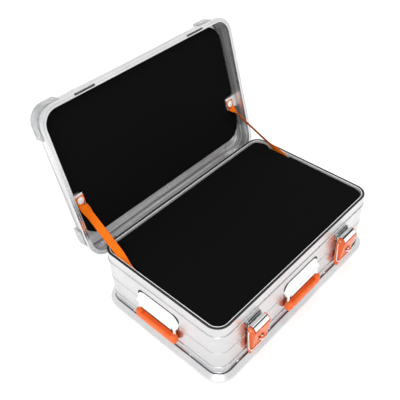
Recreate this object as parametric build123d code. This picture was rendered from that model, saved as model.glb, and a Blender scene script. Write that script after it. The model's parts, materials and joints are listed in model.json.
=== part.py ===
"""Aluminium carry case: riveted base tub with foam, hinged lid held open by two straps,
two draw latches and three drop handles.

Millimetres. Origin at the centre of the base's underside, +Z up, +X along the case.
The latches and one handle are on the front (-Y), the hinges on the back (+Y).
The lid is drawn closed and then turned open about the hinge axis.
"""
import math
import os

from build123d import *

# ---------------------------------------------------------------- driving sizes
LENGTH = 580.0              # over the base frame, along X
WIDTH = 380.0               # over the base frame, along Y
BASE_HEIGHT = 174.6         # top of the base rim's lip
LID_DEPTH = 51.0            # lid mouth to lid top
LID_OVERLAP = 25.6          # how far the closed lid hangs below the rim's lip
OPEN_ANGLE = 104.5          # lid opening that the straps allow, degrees
CORNER_R = 33.0             # outer corner radius of the tub wall
SHEET = 1.5                 # tub and lid sheet thickness

FRAME_REACH = 13.0          # base frame stands this far out from the wall
FRAME_SKIRT = 4.0           # thickness of the frame's foot
FRAME_HEIGHT = 15.0
FRAME_RECESS = 7.0          # recess under the frame that nests over stacked lips

LID_GAP = 2.8               # tub wall to the inside of the closed lid's wall
FLANGE_HEIGHT = 8.0         # edge profile round the lid's mouth
FLANGE_GROOVE = 1.0

BEAD_REACH = 2.0
BEAD_HALF = 3.2
BEAD_LEVELS = (38.0, 90.0, 144.0)
BEAD_REACHES = (BEAD_REACH, BEAD_REACH * 0.5, BEAD_REACH)

RIM_LIP = 1.8               # inner lip of the rim channel
RIM_WIDTH = 7.4             # rim channel, lip to wall face
RIM_SKIRT_DEPTH = 25.0      # lip runs this far down inside the tub
GASKET_CROWN = 1.2          # gasket stands above the channel's wall
GASKET_SEAT = 7.0           # channel floor below the lip's top

FOAM_GAP = 2.6              # foam to the rim's lip
FOAM_TOP = 171.5
FOAM_SHEETS = (36.0, 84.0)  # lowest two sheets, the top one fills the rest
LID_FOAM_CLEARANCE = 0.9    # closed lid foam above the rim's lip
LID_FOAM_R = 48.0
LID_FOAM_SIDE = 6.8         # lid wall to foam at the sides
LID_FOAM_FRONT = 8.5
LID_FOAM_BACK = 33.0        # room for the hinge leaves

HINGE_INSET = 1.0           # hinge leaf in from where the corner's curve starts
HINGE_WIDTH = 36.0
HINGE_OUT = 5.3             # axis out from the tub's back wall
HINGE_DROP = 12.0           # axis below the closed lid's mouth
KNUCKLE_R = 4.2
HINGE_PIN_R = 2.0
HINGE_FIT = 0.05            # running clearance, radial
LEAF = 1.5
LEAF_DROP = 34.0
LEAF_RISE = 34.0
KNUCKLE_GAP = 0.4

CORNER_LEG = 68.0           # cast stacking corners on the lid
CORNER_WALL = 3.7
CORNER_DROP = 25.0
CORNER_RAISE = 6.0
CORNER_LIP = 22.0

LATCH_X = 167.5
LATCH_AXIS_OUT = 12.5       # lever axis out from the front wall
LATCH_AXIS_Z = 112.0
HOOD_R = 10.7
HOOD_SHEET = 1.4
HOOD_HALF = 22.8
HOOD_CHEEK = 1.8
LEVER_HALF = 26.0
LEVER_WALL = 2.0
LEVER_CLEAR = 0.7           # lever panel outside the hood
LEVER_BOSS_R = 9.0
LEVER_BACK = 3.2            # back edge of the lever, out from the wall
LEVER_PIN_R = 2.2
LEVER_OPEN = 115.0
BAIL_R = 1.5
BAIL_CRANK = 7.56           # bail pivot from the lever axis
BAIL_CRANK_ANGLE = 249.4    # its direction, from straight out of the wall
BAIL_HALF = 30.0
BAIL_SWING = 170.5
BAIL_ELBOW_OUT = 16.4
BAIL_BAR_OUT = 9.5
PLATE_HALF = 22.0
PLATE = 2.0
PLATE_Z = (64.0, 125.0)
STAPLE_Z = 74.5
STAPLE_TIP = 29.5
STAPLE_HALF = 8.0
STAPLE_SHEET = 3.5
STAPLE_HOLE_R = 3.1

KEEPER_HALF = 24.0
KEEPER_SHEET = 1.0
KEEPER_LIP = 1.6
KEEPER_LIP_H = 2.5
KEEPER_LEG = 18.0
POCKET_HALF = 27.0          # keeper pocket in the lid flange
POCKET_DEPTH = 5.5
POCKET_WIDTH = 5.6

HANDLE_AXIS_OUT = 7.2
HANDLE_AXIS_Z = 90.0
HANDLE_WIRE_R = 3.5
HANDLE_LEG_X = 54.0
HANDLE_DROP = 36.0
HANDLE_SWING = 95.0
GRIP_HALF = 62.0
GRIP_H = 19.0
GRIP_T = 17.0
GRIP_OUT = 9.8              # centre of the grip out from the wall
GRIP_STUB = 13.0
GRIP_COLLAR = 15.6          # width of the collar round each leg
COLLAR_GAP = 0.1            # seam between a collar and the bar
GROOVE_DEPTH = 3.9
GROOVE_BACK = 4.0           # groove from the bar's middle towards the wall
GROOVE_FRONT = 3.5          # and away from the wall
GROOVE_END = 1.5            # groove stops this far inside the collars
BRACKET_HALF = 62.0
BRACKET_SHEET = 1.8
BRACKET_TOP = 124.0
BRACKET_CORNER = 22.0
BRACKET_CHANNEL_HALF = 48.5
WIRE_CLEAR = 0.4

STRAP_WIDTH = 23.0
STRAP_TILT = 30.0           # how far the taut strap is turned from flat against the wall
STRAP_THICK = 1.6
STRAP_BASE_BACK = 103.0     # strap anchor forward of the back wall
STRAP_BASE_DROP = 16.6      # strap anchor below the rim's lip
STRAP_LID_IN = 21.0         # strap's lid end in from the side wall
STRAP_LID_BACK = 130.0      # strap's lid end forward of the back wall, lid closed
ANGLE_PLATE = 1.6
WASHER_R = 8.5

RIVET_R = 3.2
RIVET_HEAD = 1.3

# ---------------------------------------------------------------- worked out
WALL_X = LENGTH / 2 - FRAME_REACH
WALL_Y = WIDTH / 2 - FRAME_REACH
FRAME_R = CORNER_R + FRAME_REACH
WALL_TOP = BASE_HEIGHT - 1.0
LID_IN_X = WALL_X + LID_GAP
LID_IN_Y = WALL_Y + LID_GAP
LID_OUT_X = LID_IN_X + SHEET
LID_OUT_Y = LID_IN_Y + SHEET
LID_IN_R = CORNER_R + LID_GAP
LID_MOUTH = BASE_HEIGHT - LID_OVERLAP
LID_TOP = LID_MOUTH + LID_DEPTH
LIP_X = WALL_X - RIM_WIDTH
LIP_Y = WALL_Y - RIM_WIDTH
LIP_R = CORNER_R - RIM_WIDTH
FLOOR = SHEET
LID_FOAM_Z = BASE_HEIGHT + LID_FOAM_CLEARANCE
HINGE_X = WALL_X - CORNER_R - HINGE_INSET - HINGE_WIDTH / 2
HINGE_Y = WALL_Y + HINGE_OUT
HINGE_Z = LID_MOUTH - HINGE_DROP
FLANGE_TOP = LID_MOUTH + FLANGE_HEIGHT
STRAP_BASE_Y = WALL_Y - STRAP_BASE_BACK
STRAP_BASE_Z = BASE_HEIGHT - STRAP_BASE_DROP
STRAP_LID_X = WALL_X - STRAP_LID_IN
STRAP_LID_Y = WALL_Y - STRAP_LID_BACK
HINGE_AXIS = Axis((0, HINGE_Y, HINGE_Z), (1, 0, 0))
SIDES = (("left", -1), ("right", 1))


# ---------------------------------------------------------------- helpers
def slab(half_x, half_y, radius, low, high):
    """Upright prism on a rounded rectangle."""
    outline = RectangleRounded(2 * half_x, 2 * half_y, radius)
    return Pos(0, 0, low) * extrude(outline, high - low)


def ring(outer, inner, low, high):
    """Upright prism between two rounded rectangles, each (half_x, half_y, radius)."""
    return slab(*outer, low, high) - slab(*inner, low - 1, high + 1)


def block(x0, x1, y0, y1, z0, z1):
    """Box between two corners."""
    size = (x1 - x0, y1 - y0, z1 - z0)
    return Pos((x0 + x1) / 2, (y0 + y1) / 2, (z0 + z1) / 2) * Box(*size)


def rod(start, end, radius):
    """Round bar between two points."""
    axis = Vector(*end) - Vector(*start)
    return extrude(Plane(origin=start, z_dir=axis) * Circle(radius), axis.length)


def side_profile(face_points, half):
    """Prism along X from points given as (distance out of the wall, height)."""
    outline = Polyline(*[(0, out, z) for out, z in face_points], close=True)
    return extrude(make_face(outline), half, dir=(1, 0, 0), both=True)


def front(shape, x):
    """Move a fitting drawn at the origin (out = +Y) on to the front wall."""
    return Pos(x, -WALL_Y, 0) * shape.mirror(Plane.XZ)


def on_side(shape, sign):
    """Move a fitting drawn at the origin (out = +Y) on to a side wall."""
    return Pos(sign * WALL_X, 0, 0) * Rot(0, 0, -90 * sign) * shape


def opened(shape):
    """Turn a piece of the closed lid about the hinge axis to the open pose."""
    return shape.rotate(HINGE_AXIS, -OPEN_ANGLE)


def rivet_out(x, z, out=0.0):
    """Domed rivet head on a wall, drawn with out = +Y."""
    head = Pos(x, out, z) * Rot(-90, 0, 0) * Cylinder(
        RIVET_R, RIVET_HEAD, align=(Align.CENTER, Align.CENTER, Align.MIN))
    edge = head.edges().sort_by(Axis.Y)[-1]
    return fillet(edge, RIVET_HEAD * 0.7)


def save(shape, name):
    """Write one node."""
    export_step(shape, os.path.join("parts", name + ".step"))


def group(solids):
    """Several separate solids in one node."""
    return Compound(children=[s for piece in solids for s in piece.solids()])


# ---------------------------------------------------------------- base
def bead_flats():
    """Places outside the wall where the beads stop so that a fitting can sit flat."""
    middle = BEAD_LEVELS[1]
    reach = BEAD_HALF + 1
    flats = [front(block(-BRACKET_HALF - 4, BRACKET_HALF + 4, 0, 5, middle - reach, middle + reach), 0)]
    for _, sign in SIDES:
        bracket = block(-BRACKET_HALF - 4, BRACKET_HALF + 4, 0, 5, middle - reach, middle + reach)
        flats.append(on_side(bracket, sign))
        latch = block(-PLATE_HALF - 6, PLATE_HALF + 6, 0, 5, middle - reach, middle + reach)
        flats.append(front(latch, sign * LATCH_X))
        hinge_half = HINGE_WIDTH / 2 + 2
        top = BEAD_LEVELS[2]
        flats.append(block(sign * HINGE_X - hinge_half, sign * HINGE_X + hinge_half,
                           WALL_Y, WALL_Y + 5, top - reach, top + reach))
    return flats


def base_shell():
    outer = slab(WALL_X, WALL_Y, CORNER_R, 0, WALL_TOP)
    outer = fillet(outer.edges().group_by(Axis.Z)[0], 6.0)
    inner = slab(WALL_X - SHEET, WALL_Y - SHEET, CORNER_R - SHEET, FLOOR, WALL_TOP + 1)
    inner = fillet(inner.edges().group_by(Axis.Z)[0], 6.0 - SHEET)
    shell = outer
    for level, reach in zip(BEAD_LEVELS, BEAD_REACHES):
        half = BEAD_HALF * reach / BEAD_REACH
        bead = slab(WALL_X + reach, WALL_Y + reach, CORNER_R + reach, level - half, level + half)
        edges = bead.edges().group_by(Axis.Z)
        bead = fillet(edges[0] + edges[-1], reach * 0.9)
        for flat in bead_flats():
            bead = bead - flat
        shell = shell + bead
    return shell - inner


def base_rim():
    wall_in = (WALL_X - SHEET, WALL_Y - SHEET, CORNER_R - SHEET)
    lip_out = (LIP_X + RIM_LIP, LIP_Y + RIM_LIP, LIP_R + RIM_LIP)
    lip_in = (LIP_X, LIP_Y, LIP_R)
    skirt = ring(lip_out, lip_in, BASE_HEIGHT - RIM_SKIRT_DEPTH, BASE_HEIGHT)
    skirt = fillet(skirt.edges().group_by(Axis.Z)[-1], RIM_LIP * 0.45)
    seat = BASE_HEIGHT - GASKET_SEAT
    web = ring(wall_in, lip_in, seat - RIM_LIP, seat)
    return skirt + web


def rim_gasket():
    wall_in = (WALL_X - SHEET, WALL_Y - SHEET, CORNER_R - SHEET)
    wall_out = (WALL_X, WALL_Y, CORNER_R)
    lip_out = (LIP_X + RIM_LIP, LIP_Y + RIM_LIP, LIP_R + RIM_LIP)
    body = ring(wall_in, lip_out, BASE_HEIGHT - GASKET_SEAT, WALL_TOP)
    crown = ring(wall_out, lip_out, WALL_TOP, WALL_TOP + GASKET_CROWN)
    crown = fillet(crown.edges().group_by(Axis.Z)[-1], GASKET_CROWN * 0.8)
    return body + crown


def base_frame():
    """Stacking skirt: a thin foot, then a sloping ledge up to the wall."""
    outer = (LENGTH / 2, WIDTH / 2, FRAME_R)
    inset = FRAME_REACH - FRAME_SKIRT
    foot_in = (WALL_X + inset, WALL_Y + inset, CORNER_R + inset)
    wall = (WALL_X, WALL_Y, CORNER_R)
    foot = ring(outer, foot_in, 0, FRAME_RECESS)
    ledge = slab(*outer, FRAME_RECESS, FRAME_HEIGHT)
    ledge = chamfer(ledge.edges().group_by(Axis.Z)[-1], FRAME_HEIGHT - FRAME_RECESS - 1.5, FRAME_REACH - 3.0)
    hole = slab(*wall, FRAME_RECESS - 1, FRAME_HEIGHT + 1)
    return foot + (ledge - hole)


def base_frame_rivets():
    """Rivet heads on the tub's underside flange, along the frame's ledge."""
    heads = []
    for step in (-2, -1, 1, 2):
        heads.append(front(rivet_out(step * 110.0, FRAME_HEIGHT + 5.5), 0))
        heads.append(Pos(0, WALL_Y, 0) * rivet_out(step * 110.0, FRAME_HEIGHT + 5.5))
    for sign in (-1, 1):
        for step in (-1, 1):
            heads.append(on_side(rivet_out(step * 90.0, FRAME_HEIGHT + 5.5), sign))
    return group(heads)


def strap_notch(sign):
    """Room beside a strap anchor, cut from the top foam sheet."""
    x_out = sign * (LIP_X + 1)
    x_in = sign * (LIP_X - FOAM_GAP - 5.0)
    low, high = sorted((x_in, x_out))
    reach = STRAP_WIDTH * 0.5 + 8
    return block(low, high, STRAP_BASE_Y - reach, STRAP_BASE_Y + reach * 2.6, STRAP_BASE_Z - 22, FOAM_TOP + 1)


def base_foam():
    """Three sheets, bottom to top, filling the tub up to just under the rim."""
    half = (LIP_X - FOAM_GAP, LIP_Y - FOAM_GAP, LIP_R - FOAM_GAP)
    level = FLOOR
    names = ("base_foam_bottom", "base_foam_middle", "base_foam_top")
    heights = FOAM_SHEETS + (FOAM_TOP - FLOOR - sum(FOAM_SHEETS),)
    sheets = {}
    for name, height in zip(names, heights):
        sheets[name] = slab(*half, level, level + height)
        level += height
    for _, sign in SIDES:
        sheets["base_foam_top"] -= strap_notch(sign)
    return sheets


# ---------------------------------------------------------------- lid (drawn closed)
def lid_shell():
    outer = slab(LID_OUT_X, LID_OUT_Y, LID_IN_R + SHEET, LID_MOUTH, LID_TOP)
    outer = fillet(outer.edges().group_by(Axis.Z)[-1], 7.0)
    inner = slab(LID_IN_X, LID_IN_Y, LID_IN_R, LID_MOUTH - 1, LID_TOP - SHEET)
    inner = fillet(inner.edges().group_by(Axis.Z)[-1], 7.0 - SHEET)
    for sign in (-1, 1):
        bead = Pos(0, sign * 70.0, LID_TOP) * extrude(RectangleRounded(400.0, 18.0, 8.9), BEAD_REACH)
        bead = fillet(bead.edges().group_by(Axis.Z)[-1], BEAD_REACH * 0.9)
        outer = outer + bead
    return outer - inner


def lid_flange():
    """Edge profile round the mouth, with a groove in its face and a pocket at each keeper."""
    outer = (LENGTH / 2, WIDTH / 2, FRAME_R)
    wall = (LID_OUT_X, LID_OUT_Y, LID_IN_R + SHEET)
    flange = ring(outer, wall, LID_MOUTH, FLANGE_TOP)
    flange = fillet(flange.edges().group_by(Axis.Z)[-1].group_by(SortBy.LENGTH)[-1], 1.5)
    mid = (LENGTH / 2 - LID_OUT_X) * 0.5
    groove_out = (wall[0] + mid + 0.5, wall[1] + mid + 0.5, wall[2] + mid + 0.5)
    groove_in = (wall[0] + mid - 0.5, wall[1] + mid - 0.5, wall[2] + mid - 0.5)
    flange = flange - ring(groove_out, groove_in, LID_MOUTH - 1, LID_MOUTH + FLANGE_GROOVE)
    for _, sign in SIDES:
        x = sign * LATCH_X
        y = -LID_OUT_Y - 1.0
        pocket = block(x - POCKET_HALF, x + POCKET_HALF, y - POCKET_WIDTH, y,
                       LID_MOUTH - 1, LID_MOUTH + POCKET_DEPTH)
        flange = flange - pocket
    return flange


def lid_foam():
    """Foam sheet in the lid, short of the back wall and cut away beside the strap brackets."""
    x = LID_IN_X - LID_FOAM_SIDE
    y0 = -LID_IN_Y + LID_FOAM_FRONT
    y1 = LID_IN_Y - LID_FOAM_BACK
    outline = RectangleRounded(2 * x, y1 - y0, LID_FOAM_R)
    foam = Pos(0, (y0 + y1) / 2, LID_FOAM_Z) * extrude(outline, LID_TOP - SHEET - LID_FOAM_Z)
    for _, sign in SIDES:
        low, high = sorted((sign * (STRAP_LID_X - 14), sign * (x + 1)))
        foam = foam - block(low, high, STRAP_LID_Y - 20, STRAP_LID_Y + 20, LID_FOAM_Z - 1, LID_TOP)
    return foam


def stacking_corner(sign_x, sign_y):
    outer = (LID_OUT_X + CORNER_WALL, LID_OUT_Y + CORNER_WALL, LID_IN_R + SHEET + CORNER_WALL)
    low = LID_TOP - CORNER_DROP
    high = LID_TOP + CORNER_RAISE
    body = slab(*outer, low, high)
    body = fillet(body.edges().group_by(Axis.Z)[-1], 3.0)
    lid = fillet(slab(LID_OUT_X, LID_OUT_Y, LID_IN_R + SHEET, low - 1, LID_TOP)
                 .edges().group_by(Axis.Z)[-1], 7.0)
    well_x = outer[0] - CORNER_LIP
    well_y = outer[1] - CORNER_LIP
    well = slab(well_x, well_y, outer[2] - CORNER_LIP, LID_TOP - 10, high + 1)
    keep = block(0, outer[0] + 1, 0, outer[1] + 1, low, high)
    keep = keep - block(0, outer[0] - CORNER_LEG, 0, outer[1] + 1, low, high)
    keep = keep - block(0, outer[0] + 1, 0, outer[1] - CORNER_LEG, low, high)
    if sign_x < 0:
        keep = keep.mirror(Plane.YZ)
    if sign_y < 0:
        keep = keep.mirror(Plane.XZ)
    return (body - lid - well) & keep


def stacking_corner_rivets():
    heads = []
    z = LID_TOP - CORNER_DROP * 0.55
    for sign_x in (-1, 1):
        for sign_y in (-1, 1):
            x = sign_x * (LID_OUT_X + CORNER_WALL - CORNER_LEG + 9)
            y = sign_y * (LID_OUT_Y + CORNER_WALL - CORNER_LEG + 9)
            if sign_y < 0:
                heads.append(Pos(0, -(LID_OUT_Y + CORNER_WALL), 0) * rivet_out(x, z).mirror(Plane.XZ))
            else:
                heads.append(Pos(0, LID_OUT_Y + CORNER_WALL, 0) * rivet_out(x, z))
            side = Rot(0, 0, -90 * sign_x) * rivet_out(-sign_x * y, z)
            heads.append(Pos(sign_x * (LID_OUT_X + CORNER_WALL), 0, 0) * side)
    return group(heads)


# ---------------------------------------------------------------- hinges
def hinge_spans(base_side):
    """The X spans of one leaf's knuckles, about the hinge's centre."""
    pitch = HINGE_WIDTH / 5
    picks = (0, 2, 4) if base_side else (1, 3)
    return [(-HINGE_WIDTH / 2 + n * pitch + KNUCKLE_GAP / 2,
             -HINGE_WIDTH / 2 + (n + 1) * pitch - KNUCKLE_GAP / 2) for n in picks]


def knuckles(x, base_side, inner_y):
    """Rolled knuckles with the tongues that join them to their leaf."""
    shapes = []
    for low, high in hinge_spans(base_side):
        start = (x + low, HINGE_Y, HINGE_Z)
        end = (x + high, HINGE_Y, HINGE_Z)
        roll = rod(start, end, KNUCKLE_R)
        if base_side:
            tongue = block(x + low, x + high, inner_y, inner_y + LEAF, HINGE_Z - 8, HINGE_Z)
        else:
            tongue = block(x + low, x + high, inner_y, inner_y + LEAF, HINGE_Z, HINGE_Z + 8)
        half_fill = KNUCKLE_R * 0.5
        fill = block(x + low, x + high, inner_y, HINGE_Y, HINGE_Z - half_fill, HINGE_Z + half_fill)
        shapes.append(roll + tongue + (fill & rod(start, end, KNUCKLE_R + 0.2)))
    return shapes


def hinge_base_leaf(x):
    leaf_top = HINGE_Z - KNUCKLE_R - KNUCKLE_GAP
    leaf = block(x - HINGE_WIDTH / 2, x + HINGE_WIDTH / 2, WALL_Y, WALL_Y + LEAF,
                 HINGE_Z - LEAF_DROP, leaf_top)
    for piece in knuckles(x, True, WALL_Y):
        leaf = leaf + piece
    return leaf - rod((x - HINGE_WIDTH, HINGE_Y, HINGE_Z), (x + HINGE_WIDTH, HINGE_Y, HINGE_Z), HINGE_PIN_R)


def hinge_lid_leaf(x):
    inner_y = LID_IN_Y - LEAF
    leaf_bottom = HINGE_Z + KNUCKLE_R + KNUCKLE_GAP
    leaf = block(x - HINGE_WIDTH / 2, x + HINGE_WIDTH / 2, inner_y, LID_IN_Y,
                 leaf_bottom, LID_MOUTH + LEAF_RISE)
    for piece in knuckles(x, False, inner_y):
        leaf = leaf + piece
    bore = HINGE_PIN_R + HINGE_FIT
    return leaf - rod((x - HINGE_WIDTH, HINGE_Y, HINGE_Z), (x + HINGE_WIDTH, HINGE_Y, HINGE_Z), bore)


def hinge_pin(x):
    return rod((x - HINGE_WIDTH / 2, HINGE_Y, HINGE_Z), (x + HINGE_WIDTH / 2, HINGE_Y, HINGE_Z), HINGE_PIN_R)


def hinge_base_rivets():
    heads = []
    for _, sign in SIDES:
        for dx in (-11, 11):
            heads.append(Pos(0, WALL_Y + LEAF, 0) * rivet_out(sign * HINGE_X + dx, HINGE_Z - LEAF_DROP + 10))
    return group(heads)


def hinge_lid_rivets():
    """Heads inside the lid, on the leaf's inner face."""
    heads = []
    for _, sign in SIDES:
        for dx in (-11, 11):
            head = rivet_out(sign * HINGE_X + dx, LID_MOUTH + LEAF_RISE - 8).mirror(Plane.XZ)
            heads.append(Pos(0, LID_IN_Y - LEAF, 0) * head)
    return group(heads)


# ---------------------------------------------------------------- latches (out = +Y)
def polar(radius, degrees):
    """Point at a radius from the lever axis, as (out, height)."""
    turn = math.radians(degrees)
    return (LATCH_AXIS_OUT + radius * math.cos(turn), LATCH_AXIS_Z + radius * math.sin(turn))


def axle(low, high, out, z, radius):
    """Round bar along X, drawn with out = +Y."""
    return rod((low, out, z), (high, out, z), radius)


def lever_front(z):
    """How far the lever's front face stands out at a height."""
    low_out, low_z = 16.5, 45.0
    top_out, top_z = polar(HOOD_R + LEVER_CLEAR + LEVER_WALL * 0.5, -10)
    return low_out + (z - low_z) * (top_out - low_out) / (top_z - low_z)


def latch_plate():
    outline = Pos(0, sum(PLATE_Z) / 2) * RectangleRounded(2 * PLATE_HALF, PLATE_Z[1] - PLATE_Z[0], 4.0)
    return extrude(Plane.XZ * outline, -PLATE)


def latch_hood():
    """Polished drum cover with end cheeks that carry the lever pin."""
    out, z = LATCH_AXIS_OUT, LATCH_AXIS_Z
    drum = axle(-HOOD_HALF, HOOD_HALF, out, z, HOOD_R)
    inside = HOOD_HALF - HOOD_CHEEK
    drum = drum - axle(-inside, inside, out, z, HOOD_R - HOOD_SHEET)
    below = block(-inside, inside, PLATE - 20, out + HOOD_R + 1, z - HOOD_R - 1, z - 2.0)
    cheek_cut = block(-HOOD_HALF - 1, HOOD_HALF + 1, PLATE - 20, out + HOOD_R + 1, z - HOOD_R - 1, z - 6.0)
    drum = drum - below - cheek_cut
    foot = block(-HOOD_HALF + 1, HOOD_HALF - 1, PLATE, out - HOOD_R + 2, z - 4, z + 6)
    foot = foot - axle(-inside, inside, out, z, HOOD_R - HOOD_SHEET)
    drum = drum + foot - block(-HOOD_HALF - 1, HOOD_HALF + 1, -20, PLATE, z - 20, z + 20)
    return drum - axle(-HOOD_HALF - 1, HOOD_HALF + 1, out, z, LEVER_PIN_R + HINGE_FIT)


def latch_lever():
    """Hollow lever: front panel and side flanges, open towards the wall."""
    top_out, top_z = polar(HOOD_R + LEVER_CLEAR + LEVER_WALL * 0.5, -10)
    points = [(LEVER_BACK, 103.0), (LEVER_BACK, 42.0), (5.5, 34.0), (9.5, 29.5), (13.0, 29.5), (15.6, 34.0),
              (16.5, 45.0), (top_out, top_z), (LATCH_AXIS_OUT + 7, LATCH_AXIS_Z),
              (LATCH_AXIS_OUT, LATCH_AXIS_Z)]
    lever = side_profile(points, LEVER_HALF)
    lever = lever + axle(-LEVER_HALF, LEVER_HALF, LATCH_AXIS_OUT, LATCH_AXIS_Z, LEVER_BOSS_R)
    inside = LEVER_HALF - LEVER_WALL
    hollow = [(LEVER_BACK - 5, 130.0), (LEVER_BACK - 5, 42.0), (LEVER_BACK + 2.2, 42.0), (7.3, 35.6),
              (10.5, 32.0), (12.2, 32.0), (13.7, 35.6), (14.4, 45.0), (top_out - 2.4, top_z),
              (top_out - 2.4, 130.0)]
    lever = lever - side_profile(hollow, inside)
    lever = lever - axle(-inside, inside, LATCH_AXIS_OUT, LATCH_AXIS_Z, HOOD_R + LEVER_CLEAR)
    slot = Pos(0, STAPLE_Z - 1.0) * RectangleRounded(2 * STAPLE_HALF + 3, 13.0, 3.0)
    lever = lever - Pos(0, 12, 0) * extrude(Plane.XZ * slot, -14.0)
    side = LEVER_HALF + 1
    lever = lever - axle(-side, side, LATCH_AXIS_OUT, LATCH_AXIS_Z, LEVER_PIN_R)
    out, z = polar(BAIL_CRANK, BAIL_CRANK_ANGLE)
    return lever - axle(-side, side, out, z, BAIL_R + HINGE_FIT)


def latch_lever_pin():
    return axle(-LEVER_HALF, LEVER_HALF, LATCH_AXIS_OUT, LATCH_AXIS_Z, LEVER_PIN_R)


def padlock_staple():
    """Tab with a shackle hole that stands out through the lever's slot."""
    tip = Pos(0, STAPLE_TIP - STAPLE_HALF) * Circle(STAPLE_HALF)
    stem = Pos(0, (PLATE + STAPLE_TIP - STAPLE_HALF) / 2) * Rectangle(
        2 * STAPLE_HALF, STAPLE_TIP - STAPLE_HALF - PLATE)
    hole = Pos(0, STAPLE_TIP - STAPLE_HALF + 2.6) * Circle(STAPLE_HOLE_R)
    tab = extrude(tip + stem - hole, STAPLE_SHEET)
    return Pos(0, 0, STAPLE_Z - STAPLE_SHEET / 2) * tab


def bail_places():
    """Pivot, elbow and bar of the bail when it is hooked over the keeper, as (out, height)."""
    bar_z = FLANGE_TOP + KEEPER_SHEET + BAIL_R
    pivot = polar(BAIL_CRANK, BAIL_CRANK_ANGLE)
    return pivot, (BAIL_ELBOW_OUT, bar_z), (BAIL_BAR_OUT, bar_z)


def latch_bail():
    """Wire bail, drawn hooked and then swung down to hang against the lever."""
    pivot, elbow, bar = bail_places()
    stub = LEVER_HALF - LEVER_WALL - 0.6
    inner = BAIL_HALF
    path = FilletPolyline(
        (-stub, *pivot), (-inner, *pivot), (-inner, *elbow), (-inner, *bar),
        (inner, *bar), (inner, *elbow), (inner, *pivot), (stub, *pivot),
        radius=[2.4, 2.4, 2.4, 2.4, 2.4, 2.4])
    section = Plane(origin=path @ 0, z_dir=path % 0) * Circle(BAIL_R)
    wire = sweep(section, path)
    return wire.rotate(Axis((0, *pivot), (1, 0, 0)), -BAIL_SWING)


def latch_plate_rivets():
    heads = []
    for _, sign in SIDES:
        for dx, z in ((-13, 88.0), (13, 88.0)):
            heads.append(front(rivet_out(dx, z, PLATE), sign * LATCH_X))
    return group(heads)


def latch_keeper(x):
    """Hook plate on the lid's front wall, drawn with the lid closed."""
    wall = LID_OUT_Y
    flange = WIDTH / 2
    low = FLANGE_TOP
    leg = block(x - KEEPER_HALF, x + KEEPER_HALF, -wall - 1.2, -wall, low, low + KEEPER_LEG)
    shelf = block(x - KEEPER_HALF, x + KEEPER_HALF, -flange + 1.5, -wall, low, low + KEEPER_SHEET)
    lip = block(x - KEEPER_HALF, x + KEEPER_HALF, -flange + 0.4, -flange + 0.4 + KEEPER_LIP,
                low, low + KEEPER_SHEET + KEEPER_LIP_H)
    lip = lip - block(x - KEEPER_HALF - 1, x + KEEPER_HALF + 1, -flange, -flange + 1.5, low - 1, low + 0.6)
    return leg + shelf + lip


def latch_keeper_rivets():
    heads = []
    for _, sign in SIDES:
        for dx in (-13, 13):
            head = rivet_out(sign * LATCH_X + dx, FLANGE_TOP + KEEPER_LEG - 6).mirror(Plane.XZ)
            heads.append(Pos(0, -LID_OUT_Y - 1.2, 0) * head)
    return group(heads)


# ---------------------------------------------------------------- drop handles (out = +Y)
def handle_bracket():
    """Pressed plate with a channel along its foot for the handle's top bar."""
    top = BRACKET_TOP
    out, z = HANDLE_AXIS_OUT, HANDLE_AXIS_Z
    channel_r = HANDLE_WIRE_R + WIRE_CLEAR + BRACKET_SHEET
    plate_low = z + 7.0
    outline = Pos(0, (top + plate_low) / 2) * RectangleRounded(2 * BRACKET_HALF, top - plate_low, 1.5)
    plate = extrude(Plane.XZ * outline, -BRACKET_SHEET)
    corners = []
    for sign in (-1, 1):
        cut = block(0, BRACKET_CORNER, -1, BRACKET_SHEET + 1, 0, BRACKET_CORNER)
        cut = cut - rod((0, -2, 0), (0, BRACKET_SHEET + 2, 0), BRACKET_CORNER)
        if sign < 0:
            cut = cut.mirror(Plane.YZ)
        x = sign * (BRACKET_HALF - BRACKET_CORNER)
        corners.append(Pos(x, 0, top - BRACKET_CORNER) * cut)
    for cut in corners:
        plate = plate - cut
    slope = side_profile([(0, plate_low + 1), (0, z + 12.5), (BRACKET_SHEET, z + 12.5),
                          (out + channel_r * 0.94, z + channel_r * 0.34), (out, z)], BRACKET_HALF)
    drum = axle(-BRACKET_CHANNEL_HALF, BRACKET_CHANNEL_HALF, out, z, channel_r)
    back = block(-BRACKET_CHANNEL_HALF, BRACKET_CHANNEL_HALF, 0, out, z - channel_r, z)
    bracket = plate + (slope - block(-99, 99, -1, 40, z - 20, z + WIRE_CLEAR)) + drum + back
    bore = HANDLE_WIRE_R + WIRE_CLEAR
    bracket = bracket - axle(-99, 99, out, z, bore)
    for sign in (-1, 1):
        low, high = sorted((sign * BRACKET_CHANNEL_HALF, sign * (BRACKET_HALF + 1)))
        sweep_room = axle(low, high, out, z, bore)
        front_room = block(low, high, out, out + 30, z - 20, z + bore)
        under_room = block(low, high, out - bore, out + 30, z - 20, z + 0.01)
        bracket = bracket - sweep_room - front_room - under_room
    return bracket


def handle_wire():
    """Closed ring of wire: top bar in the bracket, legs, and a bar inside the grip."""
    out, z = HANDLE_AXIS_OUT, HANDLE_AXIS_Z
    low = z - HANDLE_DROP
    half = FilletPolyline((0, out, z), (HANDLE_LEG_X, out, z), (HANDLE_LEG_X, out, low), (0, out, low),
                          radius=4.6)
    section = Plane(origin=half @ 0, z_dir=half % 0) * Circle(HANDLE_WIRE_R)
    wire = sweep(section, half)
    return wire + wire.mirror(Plane.YZ)


def grip_bar(grow=0.0):
    """Rounded bar round the wire's lower run."""
    bar = Pos(0, GRIP_OUT, HANDLE_AXIS_Z - HANDLE_DROP) * Box(
        2 * (GRIP_HALF + grow), GRIP_T + 2 * grow, GRIP_H + 2 * grow)
    bar = fillet(bar.edges().filter_by(Axis.Y).group_by(Axis.Z)[0], 9.0)
    return fillet(bar.edges().filter_by(Axis.X), 6.0)


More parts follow.
